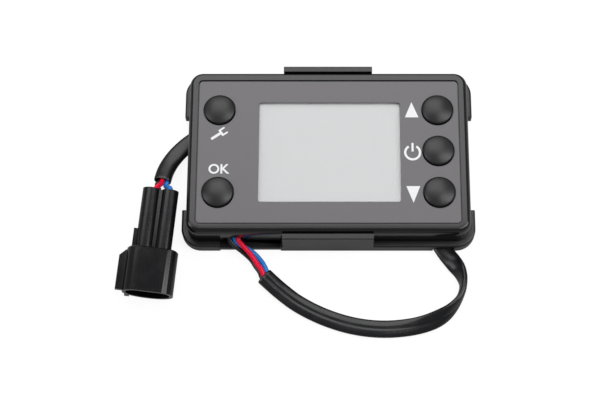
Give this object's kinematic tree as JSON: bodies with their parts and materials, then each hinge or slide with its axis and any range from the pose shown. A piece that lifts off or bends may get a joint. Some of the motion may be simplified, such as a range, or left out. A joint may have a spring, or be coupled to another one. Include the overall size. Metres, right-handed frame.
{
  "type": "lcd control panel of a diesel air heater",
  "caption": "Wired control panel of a diesel air heater: display, round rubber keys, snap-in wall holder, and a flat lead to a sealed three-pin connector.",
  "frame": {"origin": "centre of the holder's back plane, which rests on the table or wall; the lead and its connector are left out of this centre", "axes": "+X right along the long side of the face, +Y up the panel towards the upper tab, +Z out of the face"},
  "size_m": [0.1316, 0.1016, 0.0162],
  "materials": {
    "satin_black": "satin moulded plastic",
    "gloss_black": "glossy moulded plastic",
    "overlay_grey": "dark grey printed film, satin",
    "clear_window": "clear polished",
    "board_green": "solder mask",
    "display_grey": "unlit liquid crystal display, light grey",
    "white_plastic": "white moulded plastic",
    "chip_black": "moulded resin",
    "rubber_black": "moulded silicone, satin",
    "screw_steel": "zinc plated",
    "wire_red": "PVC insulation",
    "wire_blue": "PVC insulation",
    "wire_black": "PVC insulation",
    "sleeve_black": "flat PVC sleeve, satin",
    "connector_black": "glass-filled nylon, satin",
    "seal_green": "silicone",
    "pin_brass": "tinned brass terminal"
  },
  "bodies": {
    "panel": {"holder": "satin_black", "rear_shell": "satin_black", "front_shell": "gloss_black", "front_overlay": "overlay_grey", "display_window": "clear_window", "circuit_board": "board_green", "lcd_panel": "display_grey", "lcd_backlight": "white_plastic", "mcu_chip": "chip_black", "regulator_chip": "chip_black", "memory_chip": "chip_black", "wire_red": "wire_red", "wire_blue": "wire_blue", "wire_black": "wire_black", "cable_sleeve": "sleeve_black", "plug_wire_red": "wire_red", "plug_wire_blue": "wire_blue", "plug_wire_black": "wire_black", "connector_body": "connector_black", "seal_left": "seal_green", "seal_right": "seal_green", "seal_lower": "seal_green", "pin_left": "pin_brass", "pin_right": "pin_brass", "pin_lower": "pin_brass", "housing_screw_1": "screw_steel", "housing_screw_2": "screw_steel", "housing_screw_3": "screw_steel", "housing_screw_4": "screw_steel", "switch_wrench": "chip_black", "switch_ok": "chip_black", "switch_up": "chip_black", "switch_power": "chip_black", "switch_down": "chip_black"},
    "button_wrench": {"key_wrench": "rubber_black", "plunger_wrench": "white_plastic"},
    "button_ok": {"key_ok": "rubber_black", "plunger_ok": "white_plastic"},
    "button_up": {"key_up": "rubber_black", "plunger_up": "white_plastic"},
    "button_power": {"key_power": "rubber_black", "plunger_power": "white_plastic"},
    "button_down": {"key_down": "rubber_black", "plunger_down": "white_plastic"}
  },
  "joints": [
    {"name": "press_wrench", "type": "slide", "parent": "panel", "child": "button_wrench", "axis": [0, 0, -1], "range_m": [0, 0.0005], "stiffness_N_per_m": 400},
    {"name": "press_ok", "type": "slide", "parent": "panel", "child": "button_ok", "axis": [0, 0, -1], "range_m": [0, 0.0005], "stiffness_N_per_m": 400},
    {"name": "press_up", "type": "slide", "parent": "panel", "child": "button_up", "axis": [0, 0, -1], "range_m": [0, 0.0005], "stiffness_N_per_m": 400},
    {"name": "press_power", "type": "slide", "parent": "panel", "child": "button_power", "axis": [0, 0, -1], "range_m": [0, 0.0005], "stiffness_N_per_m": 400},
    {"name": "press_down", "type": "slide", "parent": "panel", "child": "button_down", "axis": [0, 0, -1], "range_m": [0, 0.0005], "stiffness_N_per_m": 400}
  ]
}
